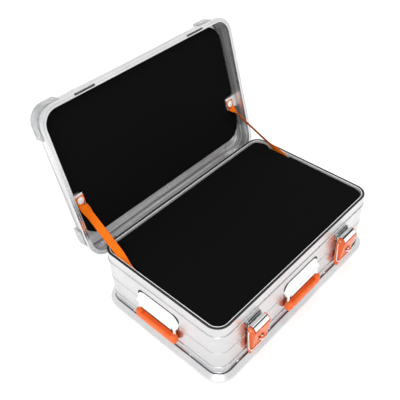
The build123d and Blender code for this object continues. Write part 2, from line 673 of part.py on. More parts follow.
def handle_grip():
    """Pieces of a moulded grip: a bar with a shallow finger groove, and a collar round each leg."""
    top = HANDLE_AXIS_Z - HANDLE_DROP + GRIP_H / 2
    groove_half = GRIP_HALF - GRIP_COLLAR - GROOVE_END
    groove = block(-groove_half, groove_half, GRIP_OUT - GROOVE_BACK, GRIP_OUT + GROOVE_FRONT,
                   top - GROOVE_DEPTH, top + 1)
    wire = handle_wire()
    pieces = [grip_bar() - wire - groove]
    room = grip_bar(COLLAR_GAP)
    for sign in (-1, 1):
        outline = RectangleRounded(GRIP_COLLAR, GRIP_COLLAR - 1.6, 5.0)
        collar = Pos(sign * (GRIP_HALF - GRIP_COLLAR / 2 - 0.2), GRIP_OUT, top - 4) * extrude(
            outline, GRIP_STUB - 4)
        collar = fillet(collar.edges().group_by(Axis.Z)[-1], 2.0)
        pieces.append(collar - room - wire)
    return pieces


def handle_bracket_rivets():
    """Two heads on each of the three brackets."""
    pair = [rivet_out(dx, 113.0, BRACKET_SHEET) for dx in (-33.5, 33.5)]
    heads = [front(head, 0) for head in pair]
    for _, sign in SIDES:
        heads += [on_side(head, sign) for head in pair]
    return group(heads)


# ---------------------------------------------------------------- straps
def strap_anchor(sign):
    """Washer plate inside the tub that clamps the strap's end."""
    x = sign * (LIP_X - STRAP_THICK)
    low, high = sorted((x, x - sign * 1.2))
    plate = block(low, high, STRAP_BASE_Y - 9, STRAP_BASE_Y + 9, STRAP_BASE_Z - 9, STRAP_BASE_Z + 9)
    spacer_low, spacer_high = sorted((x, sign * LIP_X))
    spacer = block(spacer_low, spacer_high, STRAP_BASE_Y - 9, STRAP_BASE_Y - 4,
                   STRAP_BASE_Z - 9, STRAP_BASE_Z + 4)
    return plate + spacer


def strap_anchor_rivets():
    """Heads on the outside of the tub's side walls."""
    return group([on_side(rivet_out(-sign * STRAP_BASE_Y, STRAP_BASE_Z), sign) for _, sign in SIDES])


def strap_bracket(sign):
    """Angle plate in the lid: one leg on the side wall, one level with the foam's face."""
    x_wall = sign * LID_IN_X
    x_in = sign * (STRAP_LID_X - 11)
    low, high = sorted((x_wall, x_in))
    y0, y1 = STRAP_LID_Y - 16, STRAP_LID_Y + 16
    z = LID_FOAM_Z + 1.0
    top = block(low, high, y0, y1, z, z + ANGLE_PLATE)
    leg_low, leg_high = sorted((x_wall, x_wall - sign * ANGLE_PLATE))
    leg = block(leg_low, leg_high, y0, y1, z, z + 15)
    return top + leg


def strap_screws():
    """Washer and pan-head screw through each strap's lid end."""
    z = LID_FOAM_Z + 1.0 - STRAP_THICK
    pieces = []
    for _, sign in SIDES:
        x = sign * STRAP_LID_X
        washer = rod((x, STRAP_LID_Y, z), (x, STRAP_LID_Y, z - 1.0), WASHER_R)
        head = rod((x, STRAP_LID_Y, z - 1.0), (x, STRAP_LID_Y, z - 3.0), 4.2)
        head = fillet(head.edges().sort_by(Axis.Z)[0], 1.2)
        shank = rod((x, STRAP_LID_Y, z), (x, STRAP_LID_Y, z + STRAP_THICK), 2.2)
        pieces.append(washer + head + shank)
    return group(pieces)


def opened_point(x, y, z):
    """Where a point of the closed lid goes when the lid is open."""
    turn = math.radians(OPEN_ANGLE)
    dy, dz = y - HINGE_Y, z - HINGE_Z
    return Vector(x, HINGE_Y + dy * math.cos(turn) + dz * math.sin(turn),
                  HINGE_Z - dy * math.sin(turn) + dz * math.cos(turn))


def lid_strap(sign):
    """Webbing pulled straight from the tub wall to the lid bracket, turning a little on the way."""
    base = Vector(sign * (LIP_X - STRAP_THICK * 0.5 - 0.1), STRAP_BASE_Y, STRAP_BASE_Z)
    lid = opened_point(sign * STRAP_LID_X, STRAP_LID_Y, LID_FOAM_Z + 1.0 - STRAP_THICK)
    along = (lid - base).normalized()
    start = base + along * 14.0
    end = lid - along * (WASHER_R + 4.0)
    across = along.cross(Vector(1, 0, 0)).normalized()
    base_plane = Plane(origin=start, x_dir=across.cross(along), z_dir=along)
    turned = base_plane.x_dir.rotate(Axis((0, 0, 0), along), -STRAP_TILT * sign)
    lid_plane = Plane(origin=end, x_dir=turned, z_dir=along)
    sections = [plane * Rectangle(STRAP_THICK, STRAP_WIDTH) for plane in (base_plane, lid_plane)]
    return loft(sections)


# ---------------------------------------------------------------- write every node
def build_base():
    save(base_shell(), "base_shell")
    save(base_rim(), "base_rim")
    save(rim_gasket(), "rim_gasket")
    save(base_frame(), "base_frame")
    save(base_frame_rivets(), "base_frame_rivets")
    for name, sheet in base_foam().items():
        save(sheet, name)
    save(hinge_base_rivets(), "hinge_base_rivets")
    save(latch_plate_rivets(), "latch_plate_rivets")
    save(handle_bracket_rivets(), "handle_bracket_rivets")
    save(strap_anchor_rivets(), "strap_anchor_rivets")
    for side, sign in SIDES:
        x = sign * LATCH_X
        save(hinge_base_leaf(sign * HINGE_X), "hinge_base_leaf_" + side)
        save(hinge_pin(sign * HINGE_X), "hinge_pin_" + side)
        save(front(latch_plate(), x), "latch_plate_" + side)
        save(front(latch_hood(), x), "latch_hood_" + side)
        save(front(padlock_staple(), x), "padlock_staple_" + side)
        save(strap_anchor(sign), "strap_anchor_" + side)
        save(on_side(handle_bracket(), sign), "handle_bracket_" + side)
    save(front(handle_bracket(), 0), "handle_bracket_front")


def build_lid():
    save(opened(lid_shell()), "lid_shell")
    save(opened(lid_flange()), "lid_flange")
    save(opened(lid_foam()), "lid_foam")
    save(opened(stacking_corner_rivets()), "stacking_corner_rivets")
    save(opened(latch_keeper_rivets()), "latch_keeper_rivets")
    save(opened(hinge_lid_rivets()), "hinge_lid_rivets")
    save(opened(strap_screws()), "strap_screws")
    for side, sign in SIDES:
        save(opened(stacking_corner(sign, -1)), "stacking_corner_front_" + side)
        save(opened(stacking_corner(sign, 1)), "stacking_corner_back_" + side)
        save(opened(latch_keeper(sign * LATCH_X)), "latch_keeper_" + side)
        save(opened(hinge_lid_leaf(sign * HINGE_X)), "hinge_lid_leaf_" + side)
        save(opened(strap_bracket(sign)), "strap_bracket_" + side)
        save(lid_strap(sign), "lid_strap_" + side)


def build_moving():
    for side, sign in SIDES:
        x = sign * LATCH_X
        save(front(latch_lever(), x), "latch_lever_" + side)
        save(front(latch_lever_pin(), x), "latch_lever_pin_" + side)
        save(front(latch_bail(), x), "latch_bail_" + side)
        save(on_side(handle_wire(), sign), "handle_wire_" + side)
        save(group([on_side(piece, sign) for piece in handle_grip()]), "handle_grip_" + side)
    save(front(handle_wire(), 0), "handle_wire_front")
    save(group([front(piece, 0) for piece in handle_grip()]), "handle_grip_front")


os.makedirs("parts", exist_ok=True)
build_base()
build_lid()
build_moving()
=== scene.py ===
import json
import math

import bmesh
import bpy
from mathutils import Matrix, Vector, noise


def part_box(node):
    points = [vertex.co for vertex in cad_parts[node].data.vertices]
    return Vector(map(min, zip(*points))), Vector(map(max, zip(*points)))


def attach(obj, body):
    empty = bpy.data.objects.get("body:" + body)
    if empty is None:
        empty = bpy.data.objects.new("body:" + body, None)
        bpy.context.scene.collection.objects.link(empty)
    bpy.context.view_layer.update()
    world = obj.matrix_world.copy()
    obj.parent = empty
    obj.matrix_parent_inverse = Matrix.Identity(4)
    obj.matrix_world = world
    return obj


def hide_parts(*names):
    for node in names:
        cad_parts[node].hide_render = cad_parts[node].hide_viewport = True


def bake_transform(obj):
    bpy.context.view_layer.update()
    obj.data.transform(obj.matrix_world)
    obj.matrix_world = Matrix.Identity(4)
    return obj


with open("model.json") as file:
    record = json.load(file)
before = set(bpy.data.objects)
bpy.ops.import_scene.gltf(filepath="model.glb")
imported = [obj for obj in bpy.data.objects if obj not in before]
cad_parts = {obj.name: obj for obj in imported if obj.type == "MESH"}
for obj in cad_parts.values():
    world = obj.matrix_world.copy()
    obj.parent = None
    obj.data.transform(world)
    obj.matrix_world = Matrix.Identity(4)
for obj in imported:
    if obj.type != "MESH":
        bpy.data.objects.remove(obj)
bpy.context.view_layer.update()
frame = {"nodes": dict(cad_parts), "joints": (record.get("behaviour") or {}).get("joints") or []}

NODES = frame["nodes"]
MM = 0.001
SIDES = (("left", -1), ("right", 1))

# ---------------------------------------------------------------- places, all from the CAD
HINGE = next(j for j in frame["joints"] if j["name"] == "lid_hinge")
OPEN_ANGLE = math.radians(HINGE["range_deg"][1])
LID_UP = Vector((0, -math.cos(OPEN_ANGLE), math.sin(OPEN_ANGLE)))       # up along the open lid
LID_OUT = Vector((0, -math.sin(OPEN_ANGLE), -math.cos(OPEN_ANGLE)))     # out of the open lid's mouth


# ---------------------------------------------------------------- material building blocks
class Shader:
    """One node material. Patterns are placed in the row frame, in metres."""

    def __init__(self, name, **settings):
        self.material = bpy.data.materials.new(name)
        self.material.use_nodes = True
        self.tree = self.material.node_tree
        self.bsdf = self.tree.nodes["Principled BSDF"]
        for socket, value in settings.items():
            self.bsdf.inputs[socket.replace("_", " ")].default_value = value

    def node(self, kind, **settings):
        made = self.tree.nodes.new(kind)
        for key, value in settings.items():
            if key in made.inputs:
                made.inputs[key].default_value = value
            else:
                setattr(made, key, value)
        return made

    def link(self, output, target):
        self.tree.links.new(output, target)

    def place(self, stretch=(1, 1, 1), turn=0.0):
        """Coordinates in metres, turned about X and then scaled per axis."""
        coordinates = self.node("ShaderNodeTexCoord")
        turned = self.node("ShaderNodeMapping", Rotation=(turn, 0, 0))
        scaled = self.node("ShaderNodeMapping", Scale=stretch)
        self.link(coordinates.outputs["Object"], turned.inputs["Vector"])
        self.link(turned.outputs["Vector"], scaled.inputs["Vector"])
        return scaled.outputs["Vector"]

    def noise(self, scale, detail=4.0, stretch=(1, 1, 1), turn=0.0):
        made = self.node("ShaderNodeTexNoise", Scale=scale, Detail=detail, Roughness=0.55)
        self.link(self.place(stretch, turn), made.inputs["Vector"])
        return made.outputs["Fac"]

    def ramp(self, factor, low, high, start=0.35, end=0.65):
        """Colour or grey level between two values as the pattern goes from start to end."""
        made = self.node("ShaderNodeValToRGB")
        stops = made.color_ramp.elements
        stops[0].position, stops[1].position = start, end
        stops[0].color, stops[1].color = as_color(low), as_color(high)
        self.link(factor, made.inputs["Fac"])
        return made.outputs["Color"]

    def drive(self, socket, factor, low, high, start=0.35, end=0.65):
        self.link(self.ramp(factor, low, high, start, end), self.bsdf.inputs[socket])

    def mix(self, factor, first, second, kind="MIX"):
        made = self.node("ShaderNodeMix", data_type="RGBA", blend_type=kind)
        made.inputs[0].default_value = factor
        self.link(first, made.inputs[6])
        self.link(second, made.inputs[7])
        return made.outputs[2]

    def bump(self, height, strength, distance):
        """Adds a bump; several calls stack."""
        made = self.node("ShaderNodeBump", Strength=strength, Distance=distance)
        self.link(height, made.inputs["Height"])
        normal = self.bsdf.inputs["Normal"]
        if normal.is_linked:
            self.link(normal.links[0].from_socket, made.inputs["Normal"])
        self.link(made.outputs["Normal"], normal)


def as_color(value):
    """A grey level or an RGB triple as RGBA."""
    if isinstance(value, (int, float)):
        return (value, value, value, 1.0)
    return (*value, 1.0)


# ---------------------------------------------------------------- materials
def sheet_aluminium():
    """Rolled satin sheet, with grain along the case and a faint large-scale ripple."""
    s = Shader("sheet_aluminium", Metallic=1.0)
    clouds = s.noise(9.0, 3.0)
    grain = s.noise(160.0, 5.0, stretch=(1, 8, 8))
    s.drive("Base Color", clouds, (0.62, 0.62, 0.63), (0.70, 0.70, 0.705))
    s.drive("Roughness", grain, 0.24, 0.31, 0.3, 0.7)
    s.bump(s.noise(4.0, 1.0), 0.05, 0.003)
    return s.material


def lid_aluminium():
    """The lid's sheet, with painted reflections: light and dark streaks in its colour that run round its
    walls.
    """
    s = Shader("lid_aluminium", Metallic=0.65)
    reflection_streaks = s.noise(22.0, 4.0, stretch=(0.12, 0.12, 7), turn=OPEN_ANGLE)
    # painted reflection: the colour goes from dark grey to near white in streaks along the walls
    s.drive("Base Color", reflection_streaks, (0.42, 0.42, 0.43), (0.92, 0.92, 0.925), 0.38, 0.62)
    s.drive("Roughness", s.noise(30.0, 3.0), 0.26, 0.38)
    return s.material


def extruded_aluminium():
    """Edge profiles, a little brighter than the sheet."""
    s = Shader("extruded_aluminium", Metallic=1.0)
    s.drive("Base Color", s.noise(14.0, 3.0), (0.66, 0.66, 0.67), (0.75, 0.75, 0.755))
    s.drive("Roughness", s.noise(260.0, 4.0), 0.20, 0.28)
    return s.material


def anodised_rim():
    """Pale anodised channel of the base rim."""
    s = Shader("anodised_rim", Metallic=0.35)
    s.drive("Base Color", s.noise(14.0, 3.0), (0.90, 0.90, 0.90), (0.96, 0.96, 0.96))
    s.drive("Roughness", s.noise(260.0, 4.0), 0.26, 0.36)
    return s.material


def pressed_plate():
    """Bright blasted plate of the handle brackets."""
    s = Shader("pressed_plate", Metallic=0.45)
    s.drive("Base Color", s.noise(40.0, 4.0), (0.92, 0.92, 0.92), (0.97, 0.97, 0.97))
    s.drive("Roughness", s.noise(160.0, 5.0), 0.30, 0.42)
    s.bump(s.noise(900.0, 2.0), 0.06, 0.0002)
    return s.material


def polished_steel():
    """Plated steel fittings and wire."""
    s = Shader("polished_steel", Metallic=1.0)
    s.drive("Base Color", s.noise(50.0, 3.0), (0.72, 0.73, 0.74), (0.86, 0.86, 0.87))
    s.drive("Roughness", s.noise(220.0, 5.0), 0.10, 0.24)
    return s.material


def bright_chrome():
    """Mirror plating of the latch hoods, with faint polishing marks."""
    s = Shader("bright_chrome", Metallic=1.0)
    s.drive("Base Color", s.noise(40.0, 3.0), (0.90, 0.90, 0.91), (0.96, 0.96, 0.965))
    s.drive("Roughness", s.noise(260.0, 4.0, stretch=(0.2, 3, 3)), 0.03, 0.08)
    return s.material


def pocket_shadow_black():
    """Near-black colour of the painted shadow in the keeper pockets."""
    s = Shader("pocket_shadow_black", Metallic=0.6)
    s.drive("Base Color", s.noise(90.0, 3.0), (0.05, 0.05, 0.052), (0.10, 0.10, 0.103))
    s.drive("Roughness", s.noise(200.0, 3.0), 0.35, 0.5)
    return s.material


def cast_corner():
    """Cast and tumbled corners, grey and a little grainy."""
    s = Shader("cast_corner", Metallic=0.75)
    s.drive("Base Color", s.noise(60.0, 5.0), (0.42, 0.425, 0.43), (0.58, 0.585, 0.59))
    s.drive("Roughness", s.noise(120.0, 4.0), 0.34, 0.50)
    s.bump(s.noise(700.0, 4.0), 0.25, 0.0004)
    return s.material


def seal_rubber_and_shade():
    # black rubber of the gasket; also the colour of the painted shadow at the frame joint and behind the
    # fitting plates
    s = Shader("seal_rubber_and_shade", Metallic=0.0, Specular_IOR_Level=0.35)
    s.drive("Base Color", s.noise(60.0, 3.0), (0.010, 0.010, 0.011), (0.022, 0.022, 0.024))
    s.drive("Roughness", s.noise(200.0, 3.0), 0.45, 0.62)
    s.bump(s.noise(900.0, 2.0), 0.15, 0.0002)
    return s.material


def foam_black():
    """Closed-cell foam: very dark and matte, with fine pores."""
    s = Shader("foam_black", Metallic=0.0, Roughness=0.95, Specular_IOR_Level=0.03)
    pores = s.node("ShaderNodeTexVoronoi", Scale=1400.0)
    s.link(s.place(), pores.inputs["Vector"])
    s.drive("Base Color", s.noise(900.0, 3.0), (0.0034, 0.0034, 0.0035), (0.0060, 0.0060, 0.0062))
    s.bump(pores.outputs["Distance"], 0.25, 0.0003)
    return s.material


def orange_paint():
    """Painted steel levers: glossy, with faint orange peel."""
    s = Shader("orange_paint", Metallic=0.0, Specular_IOR_Level=0.35, Coat_Weight=0.15, Coat_Roughness=0.12)
    s.drive("Base Color", s.noise(30.0, 4.0), (0.84, 0.130, 0.018), (0.93, 0.165, 0.028))
    s.drive("Roughness", s.noise(150.0, 4.0), 0.26, 0.40)
    s.bump(s.noise(420.0, 2.0), 0.10, 0.0003)
    return s.material


def orange_plastic():
    """Moulded grips: satin with a fine spark-eroded grain."""
    s = Shader("orange_plastic", Metallic=0.0, Specular_IOR_Level=0.3)
    s.drive("Base Color", s.noise(35.0, 4.0), (0.84, 0.130, 0.018), (0.93, 0.165, 0.028))
    s.drive("Roughness", s.noise(240.0, 4.0), 0.36, 0.50)
    s.bump(s.noise(1100.0, 3.0), 0.20, 0.0003)
    return s.material


def webbing():
    """Flat woven strap: crossed ribs laid out in the strap's own UVs, in metres."""
    s = Shader("webbing", Metallic=0.0, Roughness=0.8, Specular_IOR_Level=0.15)
    uv = s.node("ShaderNodeTexCoord").outputs["UV"]
    ribs = s.node("ShaderNodeTexWave", Scale=160.0, Distortion=0.6,
                  wave_type="BANDS", bands_direction="DIAGONAL")
    ends = s.node("ShaderNodeTexWave", Scale=190.0, Distortion=0.4,
                  wave_type="BANDS", bands_direction="Y")
    s.link(uv, ribs.inputs["Vector"])
    s.link(uv, ends.inputs["Vector"])
    weave = s.mix(0.5, ribs.outputs["Color"], ends.outputs["Color"])
    thread = s.ramp(weave, (0.80, 0.130, 0.002), (1.0, 0.215, 0.004), 0.2, 0.8)
    dirt = s.ramp(s.noise(60.0, 4.0), (0.90, 0.90, 0.90), (1.0, 1.0, 1.0))
    s.link(s.mix(1.0, thread, dirt, "MULTIPLY"), s.bsdf.inputs["Base Color"])
    s.bump(weave, 0.5, 0.0006)
    return s.material


def floor_paper():
    s = Shader("floor_paper", Metallic=0.0, Roughness=0.9, Specular_IOR_Level=0.1, Emission_Strength=0.18)
    s.drive("Base Color", s.noise(3.0, 2.0), (0.96, 0.96, 0.96), (0.97, 0.97, 0.97))
    s.drive("Emission Color", s.noise(3.0, 2.0), 0.97, 1.0)
    return s.material


SHEET = sheet_aluminium()
LID_SHEET = lid_aluminium()
PROFILE = extruded_aluminium()
RIM = anodised_rim()
PLATE = pressed_plate()
STEEL = polished_steel()
CHROME = bright_chrome()
POCKET_SHADE = pocket_shadow_black()
CAST = cast_corner()
RUBBER_AND_SHADE = seal_rubber_and_shade()
FOAM = foam_black()
PAINT = orange_paint()
PLASTIC = orange_plastic()
WEBBING = webbing()
FLOOR = floor_paper()

LOOKS = (
    (SHEET, ("base_shell",)),
    (LID_SHEET, ("lid_shell",)),
    (RIM, ("base_rim",)),
    (PROFILE, ("lid_flange", "base_frame", "base_frame_rivets", "strap_anchor_rivets",
               "stacking_corner_rivets")),
    (PLATE, ("handle_bracket_", "strap_screws", "strap_bracket_")),
    (CHROME, ("latch_hood_",)),
    (CAST, ("stacking_corner_front", "stacking_corner_back")),
    (RUBBER_AND_SHADE, ("rim_gasket",)),
    (FOAM, ("base_foam_", "lid_foam")),
    (PAINT, ("latch_lever_left", "latch_lever_right")),
    (PLASTIC, ("handle_grip_",)),
    (WEBBING, ("lid_strap_",)),
)


def dress_nodes():
    """Every CAD node gets its material; the last entry of LOOKS that fits its name wins."""
    for name, obj in NODES.items():
        chosen = STEEL
        for look, starts in LOOKS:
            if name.startswith(starts):
                chosen = look
        if name == "handle_bracket_rivets":
            chosen = STEEL
        obj.data.materials.clear()
        obj.data.materials.append(chosen)


# ---------------------------------------------------------------- mesh helpers
def new_object(name, mesh, look):
    obj = bpy.data.objects.new(name, mesh)
    bpy.context.scene.collection.objects.link(obj)
    obj.data.materials.clear()
    obj.data.materials.append(look)
    return obj


def applied(obj):
    """Replace the object's mesh by its result with all modifiers."""
    bpy.context.view_layer.update()
    result = obj.evaluated_get(bpy.context.evaluated_depsgraph_get())
    mesh = bpy.data.meshes.new_from_object(result)
    obj.modifiers.clear()
    obj.data = mesh


def smooth(obj):
    for face in obj.data.polygons:
        face.use_smooth = True


def mesh_object(name, points, faces, look):
    mesh = bpy.data.meshes.new(name)
    mesh.from_pydata([tuple(point) for point in points], [], faces)
    mesh.update()
    bm = bmesh.new()
    bm.from_mesh(mesh)
    bmesh.ops.recalc_face_normals(bm, faces=bm.faces)
    bm.to_mesh(mesh)
    bm.free()
    return new_object(name, mesh, look)


def rounded_loop(half_x, half_y, radius, steps=10):
    """Points and outward directions round a rounded rectangle."""
    loop = []
    for corner in range(4):
        start = corner * math.pi / 2
        centre_x = (half_x - radius) * (1 if corner in (0, 3) else -1)
        centre_y = (half_y - radius) * (1 if corner in (0, 1) else -1)
        for step in range(steps + 1):
            turn = start + step * math.pi / 2 / steps
            out = Vector((math.cos(turn), math.sin(turn), 0))
            loop.append((Vector((centre_x, centre_y, 0)) + out * radius, out))
    return loop


def edge_ring(name, half_x, half_y, radius, profile, look):
    """A closed trim round the case, from (outward, height) points of its section."""
    loop = rounded_loop(half_x, half_y, radius)
    points = []
    for point, out in loop:
        for reach, height in profile:
            points.append(point + out * reach + Vector((0, 0, height)))
    width = len(profile)
    faces = []
    for i in range(len(loop)):
        for j in range(width):
            a = i * width + j
            b = i * width + (j + 1) % width
            next_row = ((i + 1) % len(loop)) * width
            faces.append((a, b, next_row + (j + 1) % width, next_row + j))
    ring = mesh_object(name, points, faces, look)
    smooth(ring)
    return ring


BEAD_ROOT = 0.2 * MM        # a bead starts this far inside its wall


def half_round(width, height, level, steps=6):
    """Section of a bead that stands out from a wall: (outward, height) points."""
    section = [(-BEAD_ROOT, level - width / 2), (-BEAD_ROOT, level + width / 2)]
    for step in range(steps + 1):
        turn = math.pi * (0.5 - step / steps)
        section.append((height * math.cos(turn), level + width / 2 * math.sin(turn)))
    return section


# ---------------------------------------------------------------- painted shadow lines at joints
WALL_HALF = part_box("rim_gasket")[1]
WALL_R = 33 * MM
FRAME_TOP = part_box("base_frame")[1].z
GAP_SHADOW_WIDTH = 1.8 * MM
GAP_SHADOW_HEIGHT = 1.1 * MM
GAP_SHADOW_RISE = 0.6 * MM     # middle of the joint above the ledge
OUTLINE_THICK = 0.7 * MM
OUTLINE_SINK = 0.1 * MM
OUTLINE_HEIGHT = {"handle": 26 * MM, "latch": 61 * MM}
OUTLINE_CORNER = {"handle": 12.9 * MM, "latch": 4.5 * MM}
OUTLINE_REACH = {"handle": 0.9 * MM, "latch": 1.0 * MM}


def frame_gap_shadow():
    """Painted shadow: a dark half-round line in the gap between the tub's wall and the frame's ledge."""
    section = half_round(GAP_SHADOW_WIDTH, GAP_SHADOW_HEIGHT, FRAME_TOP + GAP_SHADOW_RISE)
    # painted shadow in the gap where the tub's wall meets the frame's ledge
    ring = edge_ring("frame_gap_shadow", WALL_HALF.x, WALL_HALF.y, WALL_R, section, RUBBER_AND_SHADE)
    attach(ring, "base")


def wall_behind(low, high):
    """The wall that carries a fitting: (across, point on the wall, out, half width)."""
    spread = high - low
    if spread.y < spread.x:
        middle = Vector(((low.x + high.x) / 2, -WALL_HALF.y, 0))
        return Vector((1, 0, 0)), middle, Vector((0, -1, 0)), spread.x / 2
    sign = 1 if low.x > 0 else -1
    middle = Vector((sign * WALL_HALF.x, 0, 0))
    return Vector((0, 1, 0)), middle, Vector((sign, 0, 0)), spread.y / 2


def plate_shadow_outline(name, node):
    """Painted shadow: a thin dark plate behind a fitting, just wider than its plate, that shows as a dark
    outline round it.
    """
    kind = node.split("_")[0]
    low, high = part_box(node)
    across, middle, out, half = wall_behind(low, high)
    reach = OUTLINE_REACH[kind]
    bottom = high.z - OUTLINE_HEIGHT[kind]
    outline = []
    for point, _ in rounded_loop(half + reach, (high.z + reach - bottom) / 2, OUTLINE_CORNER[kind]):
        level = (high.z + reach + bottom) / 2 + point.y
        outline.append(middle + across * point.x + Vector((0, 0, level)))
    count = len(outline)
    points = [p - out * OUTLINE_SINK for p in outline] + [p + out * OUTLINE_THICK for p in outline]
    faces = [tuple(range(count)), tuple(range(2 * count - 1, count - 1, -1))]
    faces += [(i, (i + 1) % count, (i + 1) % count + count, i + count) for i in range(count)]
    # painted shadow: a dark outline round the fitting's plate, where the gap between plate and wall lies in
    # shade
    shadow_outline = mesh_object(name, points, faces, RUBBER_AND_SHADE)
    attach(shadow_outline, "base")


def all_plate_shadows():
    for side in ("front", "left", "right"):
        plate_shadow_outline("bracket_pad_" + side, "handle_bracket_" + side)
    for side in ("left", "right"):
        plate_shadow_outline("latch_shadow_outline_" + side, "latch_plate_" + side)


# ---------------------------------------------------------------- painted shadow in the keeper pockets of the lid's edge
HINGE_PLACE = Vector(HINGE["pos_m"])
LID_PLACE = (Matrix.Translation(HINGE_PLACE) @ Matrix.Rotation(-OPEN_ANGLE, 4, "X")
             @ Matrix.Translation(-HINGE_PLACE))     # from the closed lid to the open one
POCKET_HALF = 27 * MM
POCKET_NEAR = 182.35 * MM   # pocket's inner and outer faces, from the middle of the case
POCKET_FAR = 187.85 * MM
POCKET_TALL = 5.3 * MM
POCKET_FIT = 0.1 * MM
FLANGE_HALF = 4 * MM        # half the height of the lid's edge profile
SHADOW_WALL = 0.9 * MM
SHADOW_END = 4 * MM
SHADOW_EDGE = 0.2 * MM


def block(low, high, place):
    """Corner points and faces of a box, moved by a matrix."""
    xs, ys, zs = zip(low, high)
    points = [place @ Vector((x, y, z)) for x in xs for y in ys for z in zs]
    faces = [(0, 1, 3, 2), (4, 6, 7, 5), (0, 4, 5, 1), (2, 3, 7, 6), (0, 2, 6, 4), (1, 5, 7, 3)]
    return points, faces


def keeper_pocket_shadow(side):
    """Painted shadow: a near-black L-shaped piece at the end and inner wall of the pocket that the keeper
    sits behind.
    """
    mouth = (LID_PLACE.inverted() @ box_centre("lid_flange")).z - FLANGE_HALF
    top = mouth + POCKET_TALL
    left = box_centre("latch_keeper_" + side).x - POCKET_HALF + POCKET_FIT
    right = left + 2 * (POCKET_HALF - POCKET_FIT)
    end = ((left, -POCKET_FAR, mouth), (left - POCKET_FIT + SHADOW_END, -POCKET_NEAR, top))
    back = ((left, -POCKET_NEAR - SHADOW_WALL, mouth), (right, -POCKET_NEAR, top))
    points = []
    faces = []
    for low, high in (end, back):
        corners, sides = block(low, high, LID_PLACE)
        faces += [tuple(i + len(points) for i in face) for face in sides]
        points += corners
    # painted shadow: a dark piece where the pocket's end and inner wall lie in shade
    shadow_piece = mesh_object("keeper_pocket_shadow_" + side, points, faces, POCKET_SHADE)
    bevel = shadow_piece.modifiers.new("bevel", "BEVEL")
    bevel.width = SHADOW_EDGE
    bevel.segments = 2
    applied(shadow_piece)
    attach(shadow_piece, "lid")


# ---------------------------------------------------------------- foam
FOAM_SHEETS = (("base_foam_bottom", "base", 0.006), ("base_foam_middle", "base", 0.006),
               ("base_foam_top", "base", 0.003), ("lid_foam", "lid", 0.003))
FOAM_RIPPLE = 0.00025


def foam_sheet(node, body, voxel):
    """The CAD sheet with soft cut edges and a slightly uneven skin."""
    obj = new_object(node + "_soft", NODES[node].data.copy(), FOAM)
    remesh = obj.modifiers.new("remesh", "REMESH")
    remesh.mode = "VOXEL"
    remesh.voxel_size = voxel
    soften = obj.modifiers.new("soften", "SMOOTH")
    soften.factor = 0.5
    soften.iterations = 3
    applied(obj)
    obj.data.materials.clear()
    obj.data.materials.append(FOAM)
    low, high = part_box(node)
    moved = []
    for vertex in obj.data.vertices:
        lift = FOAM_RIPPLE * (noise.noise(vertex.co * 35.0) - 0.5)
        place = vertex.co + vertex.normal * lift
        moved += [min(max(place[axis], low[axis]), high[axis]) for axis in range(3)]
    obj.data.vertices.foreach_set("co", moved)
    obj.data.update()
    smooth(obj)
    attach(obj, body)
    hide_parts(node)


# ---------------------------------------------------------------- lid straps
STRAP_WIDTH = 22.5 * MM
STRAP_THICK = 1.5 * MM
STRAP_STEPS = 56
STRAP_TILT = 30.0
STRAP_BANDS = 12
STRAP_BEHIND = 0.7 * MM     # strap's middle outside the anchor's middle
STRAP_TAIL = 9 * MM         # strap carries on this far below the anchor rivet
STRAP_SINK = 0.8 * MM       # strap's middle behind the middle of the lid screw
STRAP_CREASE = 12 * MM      # strap bends this far below the lid screw
STRAP_LIFT = 0.6 * MM
STRAP_END = 10 * MM         # flat end, each way from the screw


def box_centre(node, sign=None):
    """Centre of a node's box, or of its half on one side when it holds a left and a right piece."""
    points = [v.co for v in NODES[node].data.vertices if sign is None or v.co.x * sign > 0]
    low = Vector([min(p[i] for p in points) for i in range(3)])
    high = Vector([max(p[i] for p in points) for i in range(3)])
    return (low + high) / 2


def strap_tilt(t):
    """How far the strap is turned from flat against the wall, at a share of the way to the lid."""
    leave = ease((t - 0.06) / 0.26)
    arrive = ease((t - 0.84) / 0.16)
    return math.radians(STRAP_TILT * leave + (90 - STRAP_TILT) * arrive)


def ease(t):
    t = min(max(t, 0.0), 1.0)
    return t * t * (3 - 2 * t)


def strap_line(sign, side):
    """Centre line of one strap, as (point, width direction) from the tub wall to the lid."""
    anchor = box_centre("strap_anchor_rivets", sign)
    wall_x = box_centre("strap_anchor_" + side).x + sign * STRAP_BEHIND
    base = Vector((wall_x, anchor.y, anchor.z))
    lid = box_centre("strap_screws", sign) - LID_OUT * STRAP_SINK
    crease = lid - LID_UP * STRAP_CREASE + LID_OUT * STRAP_LIFT
    run = (crease - base).normalized()
    level = Vector((1, 0, 0))
    line = [(base - run * STRAP_TAIL, run.cross(level).normalized())]
    for step in range(STRAP_STEPS + 1):
        t = step / STRAP_STEPS
        turn = Matrix.Rotation(-sign * strap_tilt(t), 3, run)
        line.append((base.lerp(crease, t), turn @ run.cross(level).normalized()))
    end_way = Vector((-sign, 0, 0))
    line.append((lid - LID_UP * STRAP_END, end_way))
    line.append((lid + LID_UP * STRAP_END, end_way))
    return line


